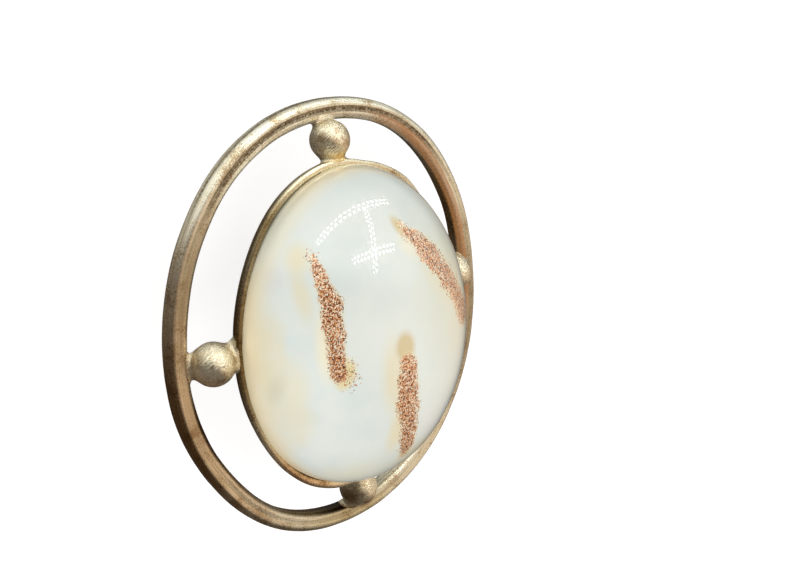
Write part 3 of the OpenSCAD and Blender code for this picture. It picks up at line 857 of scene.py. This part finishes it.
stone = {
    "halfWidth": 11.50, "halfHeight": 14.47, "shift": (0.08, -0.10, 0.0), "girdle": 8.4, "top": 17.5, "back": 7.75,
    "detail": 72,
    # the dome's unevenness: scale, share taken off its width and height, and mm off its depth
    "rippleScale": 0.22, "rippleIn": 0.002, "rippleDown": 0.05,
    "white": (0.690, 0.740, 0.710), "cool": (0.64, 0.710, 0.695), "cream": (0.73, 0.67, 0.475),
    "pale": (0.80, 0.76, 0.60), "ivory": (0.64, 0.675, 0.585), "lilac": (0.68, 0.675, 0.67),
    # the warm tint after grey and its paler mate are painted light on the stone's edge
    "grey": (0.52, 0.52, 0.40), "rim": (0.84, 0.71, 0.45), "rimPale": (0.74, 0.74, 0.62),
    "yellow": (0.72, 0.64, 0.36), "beige": (0.60, 0.51, 0.31), "olive": (0.64, 0.51, 0.26),
    "halo": (0.74, 0.64, 0.40),
    # the grains' tones from dark to light; the lightest, near white, is a painted glint
    "copperAndGlint": [(0.0, (0.04, 0.010, 0.004)), (0.24, (0.28, 0.085, 0.028)), (0.50, (0.67, 0.28, 0.115)),
               (0.74, (0.92, 0.52, 0.26)), (1.0, (1.0, 0.93, 0.78))],
    "finish": {"Roughness": 0.32, "Coat Weight": 1.0, "Coat Roughness": 0.03, "Coat IOR": 1.75,
               "Subsurface Weight": 0.25, "Subsurface Radius": (1.0, 0.9, 0.8), "Subsurface Scale": 0.0012},
    # noises in the glass, scale and detail, with how far the swirl carries and where clouds turn cool
    "swirlNoise": (0.35, 2.0), "swirl": 3.0, "cloudNoise": (0.16, 3.0), "clouds": (0.40, 0.62),
    # painted rim light, a warm glow of the brass rim on the stone's edge, comes in over these levels, and is paler
    # in one place: centre and size
    "rimFade": (11.6, 8.9, 0.0, 0.85), "rimSpot": ((-7.5, 10.0, 9.2), (6.5, 6.0, 2.4)),
    # ragged edges: their noise and strength in halo and core, and where halo and grains come in
    "raggedNoise": (1.1, 3.0), "raggedHalo": 1.5, "raggedCore": 1.05,
    "haloFade": (0.1, 1.3, 0.0, 0.42), "grainFade": (-0.22, 0.42),
    "grainScale": 12.0, "grainShare": 0.92, "grainMetal": 0.35, "sparkle": 0.55,
    "streaks": [
        {"Start": (-6.84, 8.90, 13.16), "Bend": (-6.72, 5.20, 14.95), "End": (-6.85, -0.9, 15.68),
         "Start Width": 0.26, "Bend Width": 0.95, "End Width": 0.72, "Halo": 0.30},
        {"Start": (1.25, 9.75, 15.05), "Bend": (3.10, 7.70, 15.60), "End": (7.40, 0.80, 15.20),
         "Start Width": 0.30, "Bend Width": 1.25, "End Width": 1.32, "Halo": 0.35},
        {"Start": (-0.88, -1.00, 17.42), "Bend": (-0.90, -3.90, 17.10), "End": (0.45, -9.8, 15.02),
         "Start Width": 0.85, "Bend Width": 1.25, "End Width": 0.85, "Halo": 0.35},
    ],
    # tinted places: tint, centre, size, turn in radians, strength, and True where the swirl carries them off
    "patches": [
        ("ivory", (5.5, 3.0, 15.5), (7.0, 12.0, 6.0), 0.0, 0.95),
        ("ivory", (-2.0, -12.0, 13.0), (9.0, 5.0, 4.5), 0.0, 0.60),
        ("cream", (-10.9, 0.0, 10.8), (2.2, 8.0, 3.0), 0.0, 0.85, True),
        ("cream", (-9.6, -5.0, 12.0), (2.4, 6.5, 3.4), 0.0, 0.55, True),
        ("cream", (-9.5, -2.0, 13.1), (1.5, 4.6, 2.4), 0.0, 0.45),
        ("cream", (-7.8, 8.9, 12.3), (1.6, 2.4, 1.8), 0.0, 0.90),
        ("cream", (-8.3, 5.9, 13.3), (0.9, 3.4, 2.2), 0.0, 0.65),
        ("pale", (-7.65, 1.6, 15.0), (1.0, 4.2, 1.6), 0.0, 0.95),
        ("pale", (1.1, 8.4, 15.75), (1.1, 1.9, 1.5), -0.53, 0.70),
        ("cream", (3.4, 4.9, 16.5), (1.3, 4.2, 2.0), -0.53, 0.40),
        ("cream", (6.6, 3.2, 15.4), (3.6, 7.5, 4.0), 0.0, 0.45, True),
        ("cream", (2.4, -11.2, 13.7), (3.6, 2.8, 3.0), 0.0, 0.60, True),
        ("cream", (-2.35, -1.9, 17.1), (1.5, 5.0, 2.0), 0.0, 0.80),
        ("cream", (-1.45, -7.4, 16.1), (1.3, 4.8, 2.0), 0.0, 0.90),
        ("cream", (-4.5, -11.6, 12.2), (5.0, 2.0, 3.0), 0.0, 0.35, True),
        ("grey", (-10.4, -2.0, 11.7), (0.8, 3.0, 1.8), 0.25, 0.36),
        ("lilac", (-9.6, 7.2, 10.6), (1.6, 1.6, 1.6), 0.0, 0.50, True),
        ("yellow", (-6.15, -0.6, 16.05), (0.95, 1.6, 1.2), 0.0, 1.10),
        ("yellow", (-6.60, -1.65, 15.75), (1.0, 0.9, 0.9), 0.0, 0.90),
        ("beige", (-1.10, 0.45, 17.43), (1.35, 1.85, 1.0), 0.0, 1.5),
        ("olive", (1.0, 9.9, 14.90), (0.80, 1.7, 1.4), -0.43, 1.1),
        ("olive", (0.55, -10.7, 14.60), (1.0, 0.9, 1.2), 0.0, 0.80),
    ],
    # thinly scattered grains beside the streaks: centre, size and how many
    "scatter": [((-6.15, -0.9, 16.05), (1.25, 2.0, 1.4), 0.34), ((1.35, 9.6, 15.1), (1.0, 1.5, 1.3), 0.36),
                ((0.55, -10.6, 14.65), (0.9, 0.9, 1.2), 0.40), ((-6.9, 8.7, 13.3), (0.8, 1.4, 1.2), 0.25)],
}


def sphereGrid(count):
    # points on a ball laid out like the squares of a cube, so that it has no poles
    ticks = np.tan(np.linspace(-1, 1, count + 1) * math.pi / 4)
    u, v = np.meshgrid(ticks, ticks, indexing="ij")
    w = np.ones_like(u)
    sides = [(u, v, w), (v, u, -w), (w, u, v), (-w, v, u), (v, w, u), (u, -w, v)]
    points = np.concatenate([np.stack([c.ravel() for c in side], 1) for side in sides])
    points /= np.linalg.norm(points, axis=1, keepdims=True)
    cells = (np.arange(count)[:, None] * (count + 1) + np.arange(count)[None, :]).ravel()
    corner = np.stack([cells, cells + count + 1, cells + count + 2, cells + 1], 1)
    faces = np.concatenate([corner + k * (count + 1) ** 2 for k in range(6)])
    _, first, back = np.unique(np.round(points, 6), axis=0, return_index=True, return_inverse=True)
    return points[first], back.ravel()[faces]


rays, domeFaces = sphereGrid(stone["detail"])
rise = stone["top"] - stone["girdle"]
dome = rays * np.array([stone["halfWidth"], stone["halfHeight"], rise]) + np.array([0, 0, stone["girdle"]])
ripple = np.array([0.5 + 0.5 * noise.noise(Vector(q) * stone["rippleScale"]) for q in dome])
dome[:, :2] *= 1 - stone["rippleIn"] * ripple[:, None]
dome += stone["shift"]
dome[:, 2] = np.maximum(dome[:, 2] - stone["rippleDown"] * ripple, stone["back"])

tree, given, result = newGroup(
    "streak", "ShaderNodeTree",
    {"Vector": ("Place", "Start", "Bend", "End"), "Float": ("Start Width", "Bend Width", "End Width", "Halo")},
    {"Float": ("Core", "Halo")})


def toSegment(tree, place, start, end):
    # distance from a place to a straight run, and how far along the run it is
    run = vectorCalc(tree, "SUBTRACT", end, start)
    off = vectorCalc(tree, "SUBTRACT", place, start)
    ratio = calc(tree, "DIVIDE", vectorCalc(tree, "DOT_PRODUCT", off, run),
                 vectorCalc(tree, "DOT_PRODUCT", run, run))
    ratio = addNode(tree, "ShaderNodeClamp", {0: ratio}).outputs[0]
    return vectorCalc(tree, "DISTANCE", off, vectorCalc(tree, "SCALE", run, scale=ratio)), ratio


gaps, width = [], given["Start Width"]
for start, end in (("Start", "Bend"), ("Bend", "End")):
    gap, part = toSegment(tree, given["Place"], given[start], given[end])
    gaps.append(gap)
    growth = calc(tree, "SUBTRACT", given[end + " Width"], given[start + " Width"])
    width = calc(tree, "MULTIPLY_ADD", growth, part, width)
inside = calc(tree, "SUBTRACT", width, calc(tree, "MINIMUM", *gaps))
tree.links.new(calc(tree, "DIVIDE", inside, width), result["Core"])
inside = calc(tree, "ADD", inside, given["Halo"])
tree.links.new(calc(tree, "DIVIDE", inside, given["Halo"]), result["Halo"])
streakTree = tree

glass, tree, surface = newMaterial("milkGlass")
place = objectInMm(tree)
swirl = vectorCalc(tree, "SUBTRACT", noiseOf(tree, place, *stone["swirlNoise"])["Color"], (0.5, 0.5, 0.5))
warped = vectorCalc(tree, "ADD", place, vectorCalc(tree, "SCALE", swirl, scale=stone["swirl"]))
cloud = noiseOf(tree, warped, *stone["cloudNoise"])[0]
body = mixColour(tree, fade(tree, cloud, *stone["clouds"]), stone["white"], stone["cool"])
for tint, centre, size, angle, strength, *swirled in stone["patches"]:
    spot = softSpot(tree, warped if swirled else place, centre, size, angle)
    spot = calc(tree, "MINIMUM", calc(tree, "MULTIPLY", spot, strength), 1.0)
    body = mixColour(tree, spot, body, stone[tint])
# painted rim light: the stone's edge turns warm, as if lit by the brass rim, and paler in one place
body = mixColour(tree, fade(tree, partsOf(tree, place)["Z"], *stone["rimFade"]), body, stone["rim"])
body = mixColour(tree, softSpot(tree, place, *stone["rimSpot"]), body, stone["rimPale"])
grains = addNode(tree, "ShaderNodeTexVoronoi", {"Vector": place, "Scale": stone["grainScale"]}).outputs["Color"]
pick = addNode(tree, "ShaderNodeSeparateColor", {0: grains}).outputs
ragged = calc(tree, "SUBTRACT", noiseOf(tree, place, *stone["raggedNoise"])[0], 0.5)
masks = [placeGroup(tree, streakTree, {"Place": place, **streak}) for streak in stone["streaks"]]
core, halo = (chain(tree, "MAXIMUM", [mask[part] for mask in masks]) for part in ("Core", "Halo"))
halo = fade(tree, calc(tree, "MULTIPLY_ADD", ragged, stone["raggedHalo"], halo), *stone["haloFade"])
body = mixColour(tree, halo, body, stone["halo"])
density = fade(tree, calc(tree, "MULTIPLY_ADD", ragged, stone["raggedCore"], core), *stone["grainFade"])
density = chain(tree, "MAXIMUM", [density] + [calc(tree, "MULTIPLY", softSpot(tree, place, centre, size), share)
                                              for centre, size, share in stone["scatter"]])
grain = calc(tree, "LESS_THAN", pick["Red"], calc(tree, "MULTIPLY", density, stone["grainShare"]))
# grain colour from the ramp, whose top is a painted glint
copperAndGlint = addNode(tree, "ShaderNodeValToRGB", {0: pick["Green"]})
for _ in stone["copperAndGlint"][2:]:
    copperAndGlint.color_ramp.elements.new(0.5)
for element, (at, colour) in zip(copperAndGlint.color_ramp.elements, stone["copperAndGlint"]):
    element.position = at
    element.color = (*colour, 1)
tilt = vectorCalc(tree, "SUBTRACT", grains, (0.5, 0.5, 0.5))
tilt = vectorCalc(tree, "SCALE", tilt, scale=calc(tree, "MULTIPLY", grain, stone["sparkle"]))
facing = vectorCalc(tree, "ADD", addNode(tree, "ShaderNodeNewGeometry").outputs["Normal"], tilt)
feed(tree, surface, {"Base Color": mixColour(tree, grain, body, copperAndGlint.outputs["Color"]),
                     "Metallic": calc(tree, "MULTIPLY", grain, stone["grainMetal"]),
                     "Normal": vectorCalc(tree, "NORMALIZE", facing), **stone["finish"]})

stonePiece = meshObject("stone", dome * mm, domeFaces, glass)
closeEnds(stonePiece)
dress(stonePiece, "cabochon", "earring")
print("stone is set:", len(stonePiece.data.polygons), "faces")
